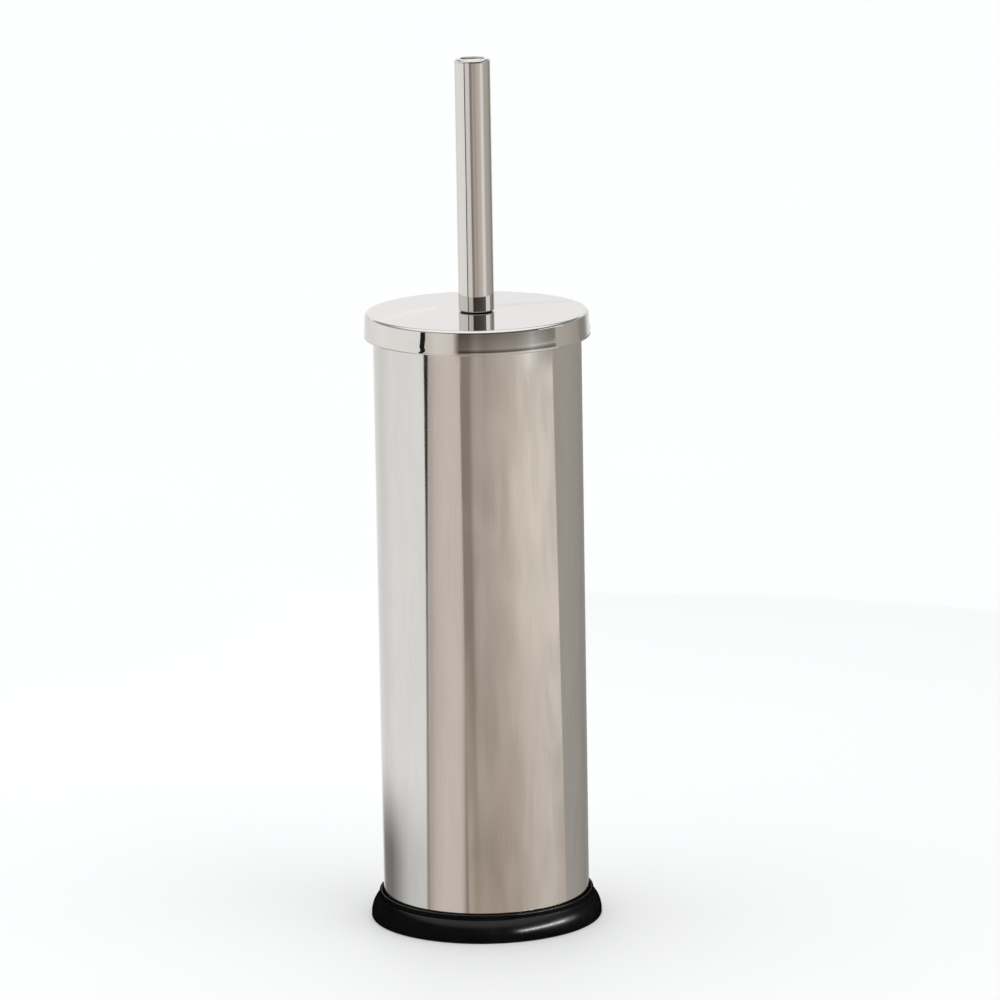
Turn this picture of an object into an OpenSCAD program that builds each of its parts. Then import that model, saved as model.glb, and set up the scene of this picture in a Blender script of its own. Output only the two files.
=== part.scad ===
// Toilet brush holder: a steel tube standing in a moulded base ring, with a
// lift-out liner, a lid that turns on the brush's rod, and the brush itself.
// The origin is on the floor under the middle of the tube, +Z is up.

/* [Overall] */
// Height of the handle's top above the floor
total_h = 378; // [350:1:400]
// Height of the lid's flat top above the floor
lid_top_z = 268.6; // [250:0.1:280]
// Thickness of the stainless sheet
sheet_t = 0.6; // [0.5:0.1:0.8]

/* [Tube] */
// Outer diameter of the steel tube
tube_d = 90; // [84:1:100]
// Outer diameter of the curl round the tube's mouth
curl_d = 2.7; // [2.4:0.1:3]
// Height of the tube's lower edge above the floor
tube_foot_z = 1.8; // [1.5:0.1:2.5]
// Height of the pressed bottom plate above the floor
plate_z = 6; // [5.5:0.1:7]

/* [Base ring] */
// How far the foot flares out beyond the tube
foot_flare = 5.5; // [5:0.1:6.5]
// Height of the ring's upright lip above the floor
ring_h = 11.8; // [11:0.1:13]
// Height at which the flare meets the upright lip
neck_z = 9.3; // [8.8:0.1:9.8]
// Width of the open gap between the lip and the tube
lip_gap = 0.8; // [0.5:0.1:0.9]
// Number of ribs in the groove under the foot
rib_count = 24; // [12:1:36]

/* [Lid] */
// Height of the lid's skirt
skirt_h = 10.8; // [8:0.1:14]
// How far the skirt spreads from its top to its lower edge
skirt_spread = 0.5; // [0.2:0.1:0.8]
// Outer radius of the bend between the lid's top and its skirt
lid_bend_r = 1.6; // [1.2:0.1:2.5]
// Height of the folded hem inside the skirt's lower edge
hem_h = 2.4; // [1.8:0.1:3]

/* [Handle] */
// Outer diameter of the handle tube
handle_d = 15.4; // [14.8:0.1:18]
// Wall thickness of the handle tube
handle_t = 0.8; // [0.6:0.1:1]
// Thickness of the cap's visible edge
cap_edge = 1.2; // [1:0.1:1.4]
// Diameter of the rod between the handle and the brush head
rod_d = 8; // [7:0.1:8.4]

/* [Brush head] */
// Height of the lowest bristle tips above the floor
brush_foot_z = 13; // [11:0.5:16]
// Diameter of the moulded core under the tufts
core_d = 28; // [26:1:32]
// Diameter of the core's neck
neck_d = 18; // [17:0.5:20]
// Height of one row of tufts
row_pitch = 6.5; // [6:0.1:7]

/* [Liner] */
// Wall thickness of the liner
liner_t = 1.5; // [1.2:0.1:1.6]
// Depth of the liner's rim below the tube's mouth
rim_depth = 12; // [8:1:30]
// How much the liner narrows on each side from its rim to its floor
liner_taper = 1.2; // [0.8:0.1:1.4]

/* [Hidden] */
$fn = 96;
ROWS = 8;
TUFT_ROWS = [for (i = [1 : ROWS]) str("tuft_row_", i)];

// Clearances: between bodies that rest on each other, along the rod, and round the rod
rest_gap = 0.3;
end_play = 0.1;
running_gap = 0.05;
// Clearances between fixed pieces: loose, and pressed together
fit_gap = 0.1;
press_gap = 0.02;
// Space beyond each end of the rod in its threaded hole
rod_end_gap = 1;
// Cutters reach this far past a face
over = 1;

// Tube
tube_r = tube_d / 2;
tube_in_r = tube_r - sheet_t;
curl_r = curl_d / 2;
curl_x = tube_in_r + curl_r;
mouth_z = lid_top_z - sheet_t - rest_gap;
curl_z = mouth_z - curl_r;

// Base ring
foot_r = tube_r + foot_flare;
neck_reach = 2.2;
neck_r = tube_r + neck_reach;
lip_reach = 1.9;
lip_r = tube_r + lip_reach;
// The flare bulges outwards: an arc through the neck that is upright at the toe
toe_z = 1.2;
flare_drop = neck_z - toe_z;
flare_out = foot_r - neck_r;
flare_r = (flare_drop * flare_drop + flare_out * flare_out) / (2 * flare_out);
seat_wall = 1.2;
seat_out_r = tube_in_r - sheet_t - fit_gap;
seat_in_r = seat_out_r - seat_wall;
seat_h = 5;
seat_clear = 0.05;
gap_floor_z = 7.5;
groove_offset = 1.3;
groove_in_r = tube_r + groove_offset;
groove_h = 6.2;
skin_t = 1.6;
rib_t = 1.2;
rib_foot_z = 0.4;
// How far each rib runs into the walls of the groove
rib_lap = 0.3;
toe_round = 0.5;

// Lid
hem_t = 2 * sheet_t + fit_gap;
lid_gap = 0.5;
lid_low_r = curl_x + curl_r + lid_gap + hem_t;
lid_high_r = lid_low_r - skirt_spread;
skirt_z = lid_top_z - skirt_h;

// Bush and push nut
bush_wall = 1.8;
bush_r = rod_d / 2 + running_gap + bush_wall;
bush_flange_t = 0.3;
bush_flange_r = bush_r + 0.8;
bush_depth = 3.8;
bush_foot_z = lid_top_z - bush_depth;
snap_r = bush_r + 0.7;
snap_h = 0.6;
nut_t = 0.5;
nut_r = rod_d / 2 + 5;
nut_dish = 0.8;
nut_teeth = 6;
tooth_l = 1.8;
slot_w = 0.8;
slot_reach = 0.3;

// Handle
handle_r = handle_d / 2;
handle_in_r = handle_r - handle_t;
handle_foot_z = lid_top_z + bush_flange_t + end_play;
handle_top_z = total_h - cap_edge;
handle_foot_round = 0.5;
recess_r = handle_r - 2.4;
recess_depth = 0.6;
spigot_h = 7;
// Depth of solid cap below the handle tube's top, over the hollow of the spigot
cap_web = 0.8;
plug_h = 20;
thread_depth = 16;

// Liner
liner_z = plate_z + sheet_t + rest_gap;
liner_top_z = mouth_z - rim_depth;
liner_gap = 0.6;
liner_rim_r = tube_in_r - liner_gap;
rim_reach = 0.9;
liner_top_r = liner_rim_r - rim_reach;
liner_foot_r = liner_top_r - liner_taper;
liner_foot_round = 5;
rim_h = 5;
rim_t = 0.7;

// Brush head
core_r = core_d / 2;
tip_reach = 9;
core_low_z = brush_foot_z + tip_reach;
core_round = 8;
brush_gap = 2.6;
brush_r = liner_foot_r - liner_t - brush_gap;
tip_h = 16.5;
row_gap = 0.5;
rows_z = brush_foot_z + tip_h;
rows_top_z = rows_z + ROWS * row_pitch;
core_top_z = rows_top_z + 2;
shoulder_h = 6;
neck_h = 14;
head_top_z = core_top_z + shoulder_h + neck_h;
insert_r = rod_d / 2 + 2.2;
insert_h = 16;
rod_foot_z = head_top_z - insert_h + rod_end_gap;
tip_inset = 6;
tip_r = brush_r - tip_inset;
tip_round = 12;

function row_low_z(i) = rows_z + (i - 1) * row_pitch;
// The two lowest rows are trimmed shorter, so that the head is rounded below
function row_r(i) = brush_r - (i == 1 ? 2.5 : i == 2 ? 0.8 : 0);

// A quarter bend of sheet of thickness t about [x, z], outwards from above it or from below it
module sheet_bend(x, z, r, t, above = true) {
    translate([x, z]) intersection() {
        difference() {
            circle(r);
            circle(r - t);
        }
        translate([0, above ? 0 : -r - over]) square(r + over);
    }
}

// Rolled sheet tube, with its mouth curled outwards into an open bead
module tube_shell() {
    color("silver") rotate_extrude() {
        translate([tube_in_r, tube_foot_z]) square([sheet_t, curl_z - tube_foot_z]);
        difference() {
            translate([curl_x, curl_z]) circle(curl_r);
            translate([curl_x, curl_z]) circle(curl_r - sheet_t);
            translate([tube_in_r - over, curl_z - curl_r - over]) square(curl_r + over);
        }
    }
}

// Pressed disc with a flange turned down inside the tube's lower end
module bottom_plate() {
    bend_r = 2;
    bend_x = tube_in_r - bend_r;
    bend_z = plate_z + sheet_t - bend_r;
    color("gainsboro") rotate_extrude() {
        translate([0, plate_z]) square([bend_x, sheet_t]);
        sheet_bend(bend_x, bend_z, bend_r, sheet_t);
        translate([tube_in_r - sheet_t, tube_foot_z]) square([sheet_t, bend_z - tube_foot_z]);
    }
}

// Section of the base ring: flared foot, upright lip, and the channel that holds the tube
module ring_section() {
    difference() {
        union() {
            translate([seat_in_r, 0]) square([lip_r - seat_in_r, ring_h]);
            intersection() {
                translate([seat_in_r, 0]) square([foot_r - seat_in_r, neck_z]);
                translate([foot_r - flare_r, toe_z]) circle(flare_r);
            }
        }
        translate([seat_in_r - over, seat_h]) square([seat_out_r - seat_in_r + over, ring_h]);
        translate([seat_out_r, tube_foot_z]) square([tube_r + seat_clear - seat_out_r, ring_h]);
        translate([tube_r, gap_floor_z]) square([lip_gap, ring_h]);
        difference() {
            translate([foot_r - toe_round, -over]) square([toe_round + over, toe_round + over]);
            translate([foot_r - toe_round, toe_round]) circle(toe_round);
        }
    }
}

// Section of the hollow that lightens the foot from below, made larger by lap on every side
module groove_section(lap = 0) {
    intersection() {
        translate([groove_in_r - lap, -over]) square([foot_r - groove_in_r, groove_h + lap + over]);
        translate([foot_r - flare_r, toe_z]) circle(flare_r - skin_t + lap);
    }
}

module base_ring() {
    rib_l = foot_r - groove_in_r;
    color("#202021") {
        difference() {
            rotate_extrude() ring_section();
            rotate_extrude() groove_section();
        }
        for (i = [0 : rib_count - 1]) {
            intersection() {
                rotate_extrude() groove_section(rib_lap);
                rotate([0, 0, 360 * i / rib_count])
                    translate([groove_in_r - over, -rib_t / 2, rib_foot_z])
                        cube([rib_l + over, rib_t, groove_h + over]);
            }
        }
    }
}

// Moulded bucket with a slight taper, a rounded floor and a turned-over rim
module liner() {
    bend_x = liner_foot_r - liner_foot_round;
    bend_z = liner_z + liner_foot_round;
    color("#2b2b2d") rotate_extrude() {
        translate([0, liner_z]) square([bend_x, liner_t]);
        sheet_bend(bend_x, bend_z, liner_foot_round, liner_t, above = false);
        polygon([
            [liner_foot_r - liner_t, bend_z],
            [liner_foot_r, bend_z],
            [liner_top_r, liner_top_z],
            [liner_top_r - liner_t, liner_top_z]
        ]);
        translate([liner_top_r - liner_t, liner_top_z - liner_t])
            square([liner_rim_r - liner_top_r + liner_t, liner_t]);
        translate([liner_rim_r - rim_t, liner_top_z - rim_h]) square([rim_t, rim_h]);
    }
}

// Pressed lid: flat top, spreading skirt, and a hem folded inside its lower edge
module lid() {
    bend_x = lid_high_r - lid_bend_r;
    bend_z = lid_top_z - lid_bend_r;
    hem_round = hem_t / 2;
    color("silver") rotate_extrude() {
        translate([bush_r + running_gap, lid_top_z - sheet_t])
            square([bend_x - bush_r - running_gap, sheet_t]);
        sheet_bend(bend_x, bend_z, lid_bend_r, sheet_t);
        polygon([
            [lid_low_r - hem_t, skirt_z + hem_round],
            [lid_low_r, skirt_z + hem_round],
            [lid_high_r, bend_z],
            [lid_high_r - sheet_t, bend_z],
            [lid_low_r - sheet_t - fit_gap, skirt_z + hem_h],
            [lid_low_r - hem_t, skirt_z + hem_h]
        ]);
        translate([lid_low_r - hem_round, skirt_z + hem_round]) circle(hem_round);
    }
}

// Plastic bush snapped into the lid's hole, with a thin flange hidden under the handle's foot
module lid_bush() {
    snap_z = lid_top_z - sheet_t - fit_gap;
    bore_h = bush_depth + bush_flange_t + 2 * over;
    color("#2a2a2c") rotate_extrude() difference() {
        union() {
            translate([0, lid_top_z]) square([bush_flange_r, bush_flange_t]);
            translate([0, bush_foot_z]) square([bush_r, lid_top_z - bush_foot_z]);
            polygon([
                [0, bush_foot_z],
                [bush_r, bush_foot_z],
                [snap_r, snap_z - snap_h],
                [snap_r, snap_z],
                [0, snap_z]
            ]);
        }
        translate([-over, bush_foot_z - over]) square([rod_d / 2 + running_gap + over, bore_h]);
    }
}

// Toothed push-on washer that traps the lid on the rod
module push_nut() {
    top_z = bush_foot_z - 2 * end_play;
    tooth_r = rod_d / 2 + tooth_l;
    slot_z = top_z - nut_t - nut_dish - over;
    slot_h = nut_t + nut_dish + 2 * over;
    color("#8d8f92") difference() {
        rotate_extrude() {
            translate([tooth_r, top_z - nut_t]) square([nut_r - tooth_r, nut_t]);
            polygon([
                [rod_d / 2, top_z - nut_t - nut_dish],
                [tooth_r, top_z - nut_t],
                [tooth_r, top_z],
                [rod_d / 2, top_z - nut_dish]
            ]);
        }
        for (i = [0 : nut_teeth - 1]) {
            rotate([0, 0, 360 * i / nut_teeth])
                translate([0, -slot_w / 2, slot_z]) cube([tooth_r + slot_reach, slot_w, slot_h]);
        }
    }
}

// Tube with the outer edge of its lower end rounded over
module handle_tube() {
    round_x = handle_r - handle_foot_round;
    round_z = handle_foot_z + handle_foot_round;
    color("silver") rotate_extrude() {
        translate([handle_in_r, round_z]) square([handle_t, handle_top_z - round_z]);
        translate([handle_in_r, handle_foot_z]) square([round_x - handle_in_r, handle_foot_round]);
        intersection() {
            translate([round_x, round_z]) circle(handle_foot_round);
            translate([round_x, handle_foot_z - over]) square(handle_foot_round + over);
        }
    }
}

// Pressed cap with a rounded edge and a shallow round recess, on a spigot inside the tube
module handle_cap() {
    spigot_r = handle_in_r - press_gap;
    hollow_h = spigot_h - cap_web;
    color("silver") difference() {
        rotate_extrude() {
            translate([0, handle_top_z]) square([handle_r - cap_edge, cap_edge]);
            intersection() {
                translate([handle_r - cap_edge, handle_top_z]) circle(cap_edge);
                translate([0, handle_top_z]) square(handle_r + over);
            }
            translate([0, handle_top_z - spigot_h]) square([spigot_r, spigot_h]);
        }
        translate([0, 0, total_h - recess_depth]) cylinder(h = recess_depth + over, r = recess_r);
        translate([0, 0, handle_top_z - spigot_h - over])
            cylinder(h = hollow_h + over, r = spigot_r - handle_t);
    }
}

// Threaded plug crimped into the handle's lower end
module handle_plug() {
    color("#a9abae") translate([0, 0, handle_foot_z]) difference() {
        cylinder(h = plug_h, r = handle_in_r - press_gap);
        translate([0, 0, -over]) cylinder(h = thread_depth + over, r = rod_d / 2);
    }
}

// Rod between the handle's plug and the brush head's insert
module rod() {
    rod_top_z = handle_foot_z + thread_depth - rod_end_gap;
    chamfer = 0.6;
    color("#c9cbcd") rotate_extrude() polygon([
        [0, rod_foot_z],
        [rod_d / 2 - chamfer, rod_foot_z],
        [rod_d / 2, rod_foot_z + chamfer],
        [rod_d / 2, rod_top_z - chamfer],
        [rod_d / 2 - chamfer, rod_top_z],
        [0, rod_top_z]
    ]);
}

// Threaded brass insert moulded into the brush head's neck
module head_insert() {
    color("#b5923a") translate([0, 0, head_top_z - insert_h]) difference() {
        cylinder(h = insert_h, r = insert_r);
        translate([0, 0, rod_end_gap]) cylinder(h = insert_h, r = rod_d / 2);
    }
}

// Outline of the core: rounded foot, straight barrel, shoulder and neck
module core_section() {
    translate([0, core_low_z]) square([core_r - core_round, core_round]);
    intersection() {
        translate([core_r - core_round, core_low_z + core_round]) circle(core_round);
        translate([0, core_low_z]) square([core_r + over, core_round]);
    }
    translate([0, core_low_z + core_round]) square([core_r, core_top_z - core_low_z - core_round]);
    polygon([
        [0, core_top_z],
        [core_r, core_top_z],
        [neck_d / 2, core_top_z + shoulder_h],
        [neck_d / 2, head_top_z],
        [0, head_top_z]
    ]);
}

module head_core() {
    color("white") difference() {
        rotate_extrude() core_section();
        translate([0, 0, head_top_z - insert_h]) cylinder(h = insert_h + over, r = insert_r);
    }
}

// One row of tufts, as the ring of space that its bristles fill
module tuft_row(i) {
    root_r = core_r + fit_gap;
    color("#f2f1ec") rotate_extrude()
        translate([root_r, row_low_z(i)]) square([row_r(i) - root_r, row_pitch - row_gap]);
}

// The tufts under the core, as the rounded solid that they fill
module tuft_tip() {
    color("#f2f1ec") difference() {
        rotate_extrude() {
            translate([0, brush_foot_z]) square([tip_r - tip_round, tip_h - row_gap]);
            intersection() {
                translate([tip_r - tip_round, brush_foot_z + tip_round]) circle(tip_round);
                translate([0, brush_foot_z]) square([tip_r + over, tip_round]);
            }
            translate([0, brush_foot_z + tip_round]) square([tip_r, tip_h - row_gap - tip_round]);
        }
        rotate_extrude() core_section();
    }
}

tube_shell();
bottom_plate();
base_ring();
liner();
lid();
lid_bush();
push_nut();
handle_tube();
handle_cap();
handle_plug();
rod();
head_insert();
head_core();
for (i = [1 : ROWS]) {
    tuft_row(i);
}
tuft_tip();
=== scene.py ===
"""Looks for the toilet brush holder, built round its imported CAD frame.

Lengths are in metres. The front is towards -Y, +Z is up, and the floor is z = 0.
Round pieces are turned from an outline of (radius, height) points, so that the
polished steel reflects cleanly; they stand for the CAD nodes of the same shape.
"""
import math

import bmesh
import bpy
import numpy as np
from mathutils import Matrix, Vector


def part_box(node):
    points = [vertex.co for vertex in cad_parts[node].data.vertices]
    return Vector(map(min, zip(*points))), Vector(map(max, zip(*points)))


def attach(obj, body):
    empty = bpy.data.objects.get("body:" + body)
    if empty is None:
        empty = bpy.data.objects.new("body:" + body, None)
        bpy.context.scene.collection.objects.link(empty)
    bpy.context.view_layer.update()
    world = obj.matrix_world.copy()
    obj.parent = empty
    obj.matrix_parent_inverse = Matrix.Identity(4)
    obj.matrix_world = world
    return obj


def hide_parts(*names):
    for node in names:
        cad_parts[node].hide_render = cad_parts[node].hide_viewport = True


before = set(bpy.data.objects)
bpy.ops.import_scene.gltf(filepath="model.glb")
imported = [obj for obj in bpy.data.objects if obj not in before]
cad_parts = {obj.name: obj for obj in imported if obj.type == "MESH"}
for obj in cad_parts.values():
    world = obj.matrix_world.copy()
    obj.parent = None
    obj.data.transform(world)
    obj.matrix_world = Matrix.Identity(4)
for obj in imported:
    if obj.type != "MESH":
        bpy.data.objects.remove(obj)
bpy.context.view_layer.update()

MM = 0.001
rng = np.random.default_rng(7)


# ---------------------------------------------------------------- sizes

def low(node):
    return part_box(node)[0]


def high(node):
    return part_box(node)[1]


SHEET = 0.6 * MM

# Tube: a plain wall below, a bead curled outwards at the mouth
CURL_R = 1.35 * MM
MOUTH_Z = high("tube_shell").z
TUBE_FOOT_Z = low("tube_shell").z
TUBE_IN_R = high("tube_shell").x - 2 * CURL_R
TUBE_R = TUBE_IN_R + SHEET
CURL_X = TUBE_IN_R + CURL_R
CURL_Z = MOUTH_Z - CURL_R

# Base ring
FOOT_R = high("base_ring").x
RING_H = high("base_ring").z
NECK_R = TUBE_R + 2.2 * MM
LIP_R = TUBE_R + 1.9 * MM
NECK_Z = 9.3 * MM
TOE_Z = 1.2 * MM
TOE_ROUND = 0.5 * MM
LIP_GAP = 0.8 * MM
GAP_FLOOR_Z = 7.5 * MM
SEAT_OUT_R = TUBE_IN_R - 0.7 * MM
SEAT_IN_R = SEAT_OUT_R - 1.2 * MM
SEAT_H = 5 * MM
GROOVE_R = TUBE_R + 1.3 * MM
GROOVE_H = 6.2 * MM
SKIN = 1.6 * MM
RIBS = 24
RIB_T = 1.2 * MM
RIB_FOOT_Z = 0.4 * MM

# Lid
LID_Z = high("lid").z
SKIRT_Z = low("lid").z
LID_LOW_R = high("lid").x
LID_HIGH_R = LID_LOW_R - 0.5 * MM
LID_BEND = 1.6 * MM
HEM_H = 2.4 * MM
# Slope of the skirt off upright, in degrees, just under the bend and just over the hem
SKIRT_TOP_SLOPE = 4.6
SKIRT_FOOT_SLOPE = 1.6

# Handle, rod and bush
HANDLE_R = high("handle_tube").x
HANDLE_FOOT_Z = low("handle_tube").z
HANDLE_TOP_Z = high("handle_tube").z
TOP_Z = high("handle_cap").z
HANDLE_WALL = 0.8 * MM
HANDLE_FOOT_ROUND = 0.5 * MM
RECESS_R = HANDLE_R - 2.4 * MM
RECESS_DEPTH = 0.6 * MM
SPIGOT_H = 6 * MM
ROD_R = high("rod").x
BUSH_TOP_Z = high("lid_bush").z
BUSH_FOOT_Z = low("lid_bush").z
BUSH_R = ROD_R + 1.85 * MM

# Liner
LINER_Z = low("liner").z
LINER_TOP_Z = high("liner").z
LINER_RIM_R = high("liner").x
LINER_TOP_R = LINER_RIM_R - 0.9 * MM
LINER_FOOT_R = LINER_TOP_R - 1.2 * MM
LINER_WALL = 1.5 * MM
LINER_ROUND = 5 * MM
LINER_RIM_H = 5 * MM
LINER_RIM_T = 0.7 * MM

# Brush head
CORE_R = high("head_core").x
CORE_Z = low("head_core").z
CORE_ROUND = 8 * MM
NECK_PLASTIC_R = 9 * MM
HEAD_TOP_Z = high("head_core").z
ROWS = 8
ROW_TOP_Z = high(f"tuft_row_{ROWS}").z
CORE_SHOULDER_Z = ROW_TOP_Z + 2.5 * MM
TIP_R = high("tuft_tip").x
TIP_Z = low("tuft_tip").z
TIP_ROUND = 12 * MM
ROOT_DEPTH = 1.5 * MM
TUFTS_PER_ROW = 15
ROW_STRANDS = 62
TIP_STRANDS = 58


# ---------------------------------------------------------------- mesh helpers

def arc(x, z, r, start, end, steps=8):
    """Points of an arc about (x, z), from angle start to end in degrees."""
    angles = [math.radians(start + (end - start) * i / steps) for i in range(steps + 1)]
    return [(x + r * math.cos(a), z + r * math.sin(a)) for a in angles]


def line(a, b, steps):
    """Points strictly between a and b."""
    return [(a[0] + (b[0] - a[0]) * i / steps, a[1] + (b[1] - a[1]) * i / steps) for i in range(1, steps)]


def link(name, mesh):
    obj = bpy.data.objects.new(name, mesh)
    bpy.context.scene.collection.objects.link(obj)
    return obj


def turn(name, outline, steps=256, closed=True, radius_at=None):
    """A solid of revolution about the Z axis from an outline of (radius, height) points."""
    verts, rings = [], []
    for r, z in outline:
        if r < 1e-7:
            rings.append([len(verts)])
            verts.append((0.0, 0.0, z))
            continue
        rings.append(list(range(len(verts), len(verts) + steps)))
        for i in range(steps):
            a = 2 * math.pi * i / steps
            rr = radius_at(r, a, z) if radius_at else r
            verts.append((rr * math.cos(a), rr * math.sin(a), z))
    faces = []
    pairs = list(zip(rings, rings[1:]))
    if closed:
        pairs.append((rings[-1], rings[0]))
    for a, b in pairs:
        if len(a) == 1 and len(b) == 1:
            continue
        for i in range(steps):
            j = (i + 1) % steps
            if len(a) == 1:
                faces.append((a[0], b[j], b[i]))
            elif len(b) == 1:
                faces.append((a[i], a[j], b[0]))
            else:
                faces.append((a[i], a[j], b[j], b[i]))
    mesh = bpy.data.meshes.new(name)
    mesh.from_pydata(verts, [], faces)
    tidy_mesh(mesh)
    return link(name, mesh)


def tidy_mesh(mesh, sharp=40):
    """Outward faces, smooth shading, and sharp edges past the angle in degrees."""
    bm = bmesh.new()
    bm.from_mesh(mesh)
    bmesh.ops.recalc_face_normals(bm, faces=bm.faces)
    bm.to_mesh(mesh)
    bm.free()
    mesh.shade_smooth()
    mesh.set_sharp_from_angle(angle=math.radians(sharp))


def weigh_normals(obj):
    """Large faces set the shading, so that small fillets don't bend the reflections beside them."""
    mod = obj.modifiers.new("face_weighted", "WEIGHTED_NORMAL")
    mod.keep_sharp = True
    mod.weight = 80
    return obj


def finish_piece(obj, body, slot, material, *nodes):
    """Puts a finished piece on its body, with its material, in place of CAD nodes; the slot argument is not
    used.
    """
    obj.data.materials.clear()
    obj.data.materials.append(material)
    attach(obj, body)
    if nodes:
        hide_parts(*nodes)
    return obj


# ---------------------------------------------------------------- materials

class Nodes:
    """Short calls for building one node tree."""

    def __init__(self, name):
        self.material = bpy.data.materials.new(name)
        self.material.use_nodes = True
        self.tree = self.material.node_tree
        self.tree.nodes.clear()
        self.out = self.add("ShaderNodeOutputMaterial")
        self.shader = self.add("ShaderNodeBsdfPrincipled")
        self.join(self.shader.outputs["BSDF"], self.out.inputs["Surface"])

    def add(self, kind, **settings):
        node = self.tree.nodes.new(kind)
        for key, value in settings.items():
            setattr(node, key, value)
        return node

    def join(self, a, b):
        self.tree.links.new(a, b)

    def set(self, **values):
        """Constant values on the shader's own sockets."""
        for key, value in values.items():
            self.shader.inputs[key.replace("_", " ")].default_value = value

    def coords(self, scale=(1, 1, 1)):
        source = self.add("ShaderNodeTexCoord")
        mapping = self.add("ShaderNodeMapping")
        mapping.inputs["Scale"].default_value = scale
        self.join(source.outputs["Object"], mapping.inputs["Vector"])
        return mapping.outputs["Vector"]

    def noise(self, scale, stretch=(1, 1, 1), detail=3, roughness=0.5, distortion=0.0):
        node = self.add("ShaderNodeTexNoise")
        node.inputs["Scale"].default_value = scale
        node.inputs["Detail"].default_value = detail
        node.inputs["Roughness"].default_value = roughness
        node.inputs["Distortion"].default_value = distortion
        self.join(self.coords(stretch), node.inputs["Vector"])
        return node.outputs["Fac"]

    def remap(self, value, low_in, high_in, low_out, high_out):
        node = self.add("ShaderNodeMapRange")
        keys = ("From Min", "From Max", "To Min", "To Max")
        for key, number in zip(keys, (low_in, high_in, low_out, high_out)):
            node.inputs[key].default_value = number
        self.join(value, node.inputs["Value"])
        return node.outputs["Result"]

    def math(self, operation, a, b=None):
        node = self.add("ShaderNodeMath", operation=operation)
        for socket, value in zip(node.inputs, (a, b)):
            if value is None:
                continue
            if isinstance(value, (int, float)):
                socket.default_value = value
            else:
                self.join(value, socket)
        return node.outputs["Value"]

    def mix(self, factor, a, b):
        node = self.add("ShaderNodeMix", data_type="RGBA")
        self.join(factor, node.inputs["Factor"])
        for key, value in (("A", a), ("B", b)):
            socket = [s for s in node.inputs if s.name == key and s.type == "RGBA"][0]
            if isinstance(value, tuple):
                socket.default_value = (*value, 1.0)
            else:
                self.join(value, socket)
        return [s for s in node.outputs if s.type == "RGBA"][0]

    def bump(self, height, strength, distance, after=None):
        node = self.add("ShaderNodeBump")
        node.inputs["Strength"].default_value = strength
        node.inputs["Distance"].default_value = distance
        self.join(height, node.inputs["Height"])
        if after:
            self.join(after, node.inputs["Normal"])
        return node.outputs["Normal"]


def polished_steel(name, grain, rough, contrast=0.06, relief=0.05, wave=0.0, seam=False):
    """Polished stainless: fine grain along one direction, soft cloudy wear, and slow waves in the sheet."""
    n = Nodes(name)
    n.set(Metallic=1.0)
    streaks = n.noise(60, grain, detail=4, roughness=0.6)
    fine = n.noise(420, grain, detail=2)
    clouds = n.noise(22, (1, 1, 0.6), detail=3, distortion=0.4)
    both = n.math("ADD", n.math("MULTIPLY", streaks, 0.5), n.math("MULTIPLY", clouds, 0.5))
    n.join(n.remap(both, 0.35, 0.65, rough[0], rough[1]), n.shader.inputs["Roughness"])
    darker = tuple((1 - contrast) * c for c in STEEL_TONE)
    n.join(n.mix(n.remap(streaks, 0.35, 0.65, 0, 1), darker, STEEL_TONE), n.shader.inputs["Base Color"])
    normal = n.bump(n.math("ADD", streaks, n.math("MULTIPLY", fine, 0.5)), relief, 0.00002)
    if wave:
        normal = n.bump(n.noise(9, (1, 1, 0.35), detail=1), wave, 0.0006, after=normal)
    if seam:
        xyz = n.add("ShaderNodeSeparateXYZ")
        n.join(n.coords(), xyz.inputs["Vector"])
        near = n.remap(n.math("ABSOLUTE", xyz.outputs["X"]), 0.0002, 0.0006, 1, 0)
        behind = n.math("GREATER_THAN", xyz.outputs["Y"], 0.0)
        normal = n.bump(n.math("MULTIPLY", near, behind), 0.5, 0.00006, after=normal)
    n.join(normal, n.shader.inputs["Normal"])
    return n.material


def moulded_plastic(name, colour, rough=(0.32, 0.42), grain=900, depth=0.00003, gloss=0.5):
    """Moulded plastic with a fine spark-eroded texture and faint handling marks."""
    n = Nodes(name)
    n.set(Specular_IOR_Level=gloss)
    texture = n.noise(grain, detail=3, roughness=0.6)
    marks = n.noise(35, detail=4, roughness=0.7, distortion=0.6)
    n.join(n.remap(marks, 0.35, 0.7, rough[0], rough[1]), n.shader.inputs["Roughness"])
    lighter = tuple(min(1.0, 1.25 * c + 0.004) for c in colour)
    n.join(n.mix(n.remap(marks, 0.4, 0.75, 0, 1), colour, lighter), n.shader.inputs["Base Color"])
    n.join(n.bump(texture, 0.25, depth), n.shader.inputs["Normal"])
    return n.material


def plain_metal(name, colour, rough):
    """Turned or rolled metal with fine rings of tool marks."""
    n = Nodes(name)
    n.set(Metallic=1.0)
    marks = n.noise(90, (1, 1, 12), detail=4, roughness=0.6)
    n.join(n.remap(marks, 0.3, 0.7, rough[0], rough[1]), n.shader.inputs["Roughness"])
    darker = tuple(0.82 * c for c in colour)
    n.join(n.mix(n.remap(marks, 0.35, 0.65, 0, 1), darker, colour), n.shader.inputs["Base Color"])
    n.join(n.bump(marks, 0.1, 0.00003), n.shader.inputs["Normal"])
    return n.material


def nylon(name):
    """White nylon filament, slightly translucent, with a little variation from strand to strand."""
    n = Nodes(name)
    n.set(Roughness=0.38)
    n.set(Subsurface_Weight=0.15)
    n.set(Subsurface_Radius=(0.0012, 0.0011, 0.0009))
    tone = n.noise(650, detail=1)
    n.join(n.mix(n.remap(tone, 0.35, 0.65, 0, 1), (0.86, 0.85, 0.82), (0.93, 0.93, 0.91)),
           n.shader.inputs["Base Color"])
    return n.material


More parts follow.
